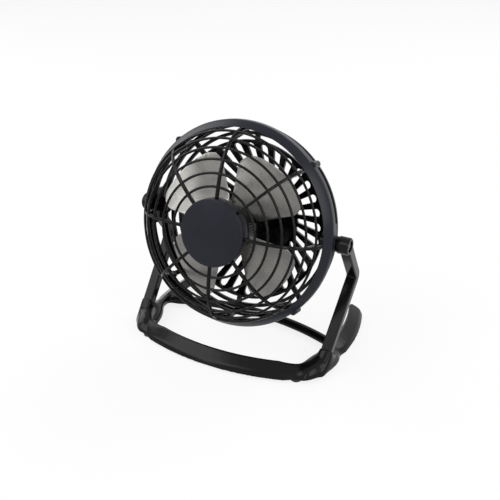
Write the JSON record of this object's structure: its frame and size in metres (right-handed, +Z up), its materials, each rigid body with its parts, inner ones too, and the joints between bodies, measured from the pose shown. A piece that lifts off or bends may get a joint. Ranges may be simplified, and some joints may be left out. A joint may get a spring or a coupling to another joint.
{
  "type": "desk fan",
  "caption": "Small desk fan with a domed wire-style grille, tilting between two bent arms on an open low base.",
  "frame": {"origin": "on the surface it stands on, in the middle of the base", "axes": "+Z up, -Y to the front where the air leaves, +X to the right of someone who faces the fan"},
  "size_m": [0.1566, 0.1108, 0.1589],
  "materials": {
    "black_plastic": "glossy black moulded plastic",
    "slate_plastic": "satin slate-black moulded plastic",
    "blade_aluminium": "plain pressed aluminium sheet",
    "foot_rubber": "black rubber",
    "screw_steel": "zinc plated steel",
    "motor_steel": "drawn steel",
    "magnet_ferrite": "dark sintered ferrite",
    "copper_wire": "enamelled copper wire",
    "brass_contact": "plain brass",
    "switch_plastic": "black switch plastic"
  },
  "bodies": {
    "stand": {"base_loop": "black_plastic", "foot_pads": "foot_rubber", "arm_left": "black_plastic", "arm_right": "black_plastic", "arm_screws": "screw_steel"},
    "head": {"front_grille": "slate_plastic", "hub_cap": "slate_plastic", "grille_screws": "screw_steel", "rear_housing": "black_plastic", "rear_cover": "black_plastic", "cover_screws": "screw_steel", "cable_gland": "foot_rubber", "switch_case": "switch_plastic", "switch_terminals": "brass_contact", "pivot_screws": "screw_steel", "pivot_washers": "screw_steel", "motor_can": "motor_steel", "motor_magnets": "magnet_ferrite", "motor_bushings": "brass_contact", "motor_end_bell": "switch_plastic", "motor_terminals": "brass_contact", "motor_brushes": "brass_contact", "motor_screws": "screw_steel"},
    "rotor": {"fan_hub": "black_plastic", "fan_blades": "blade_aluminium", "motor_shaft": "motor_steel", "armature_core": "motor_steel", "armature_windings": "copper_wire", "commutator": "brass_contact"},
    "rocker": {"switch_rocker": "switch_plastic"}
  },
  "joints": [
    {"name": "head_tilt", "type": "hinge", "parent": "stand", "child": "head", "pos_m": [0, -0.00493, 0.0882], "axis": [-1, 0, 0], "range_deg": [-104, 76]},
    {"name": "rotor_spin", "type": "hinge", "parent": "head", "child": "rotor", "pos_m": [0, -0.00493, 0.0882], "axis": [0, -0.9703, 0.2419], "continuous": true},
    {"name": "switch_rocker", "type": "hinge", "parent": "head", "child": "rocker", "pos_m": [0, 0.03717, 0.08389], "axis": [1, 0, 0], "range_deg": [0, 16]}
  ]
}
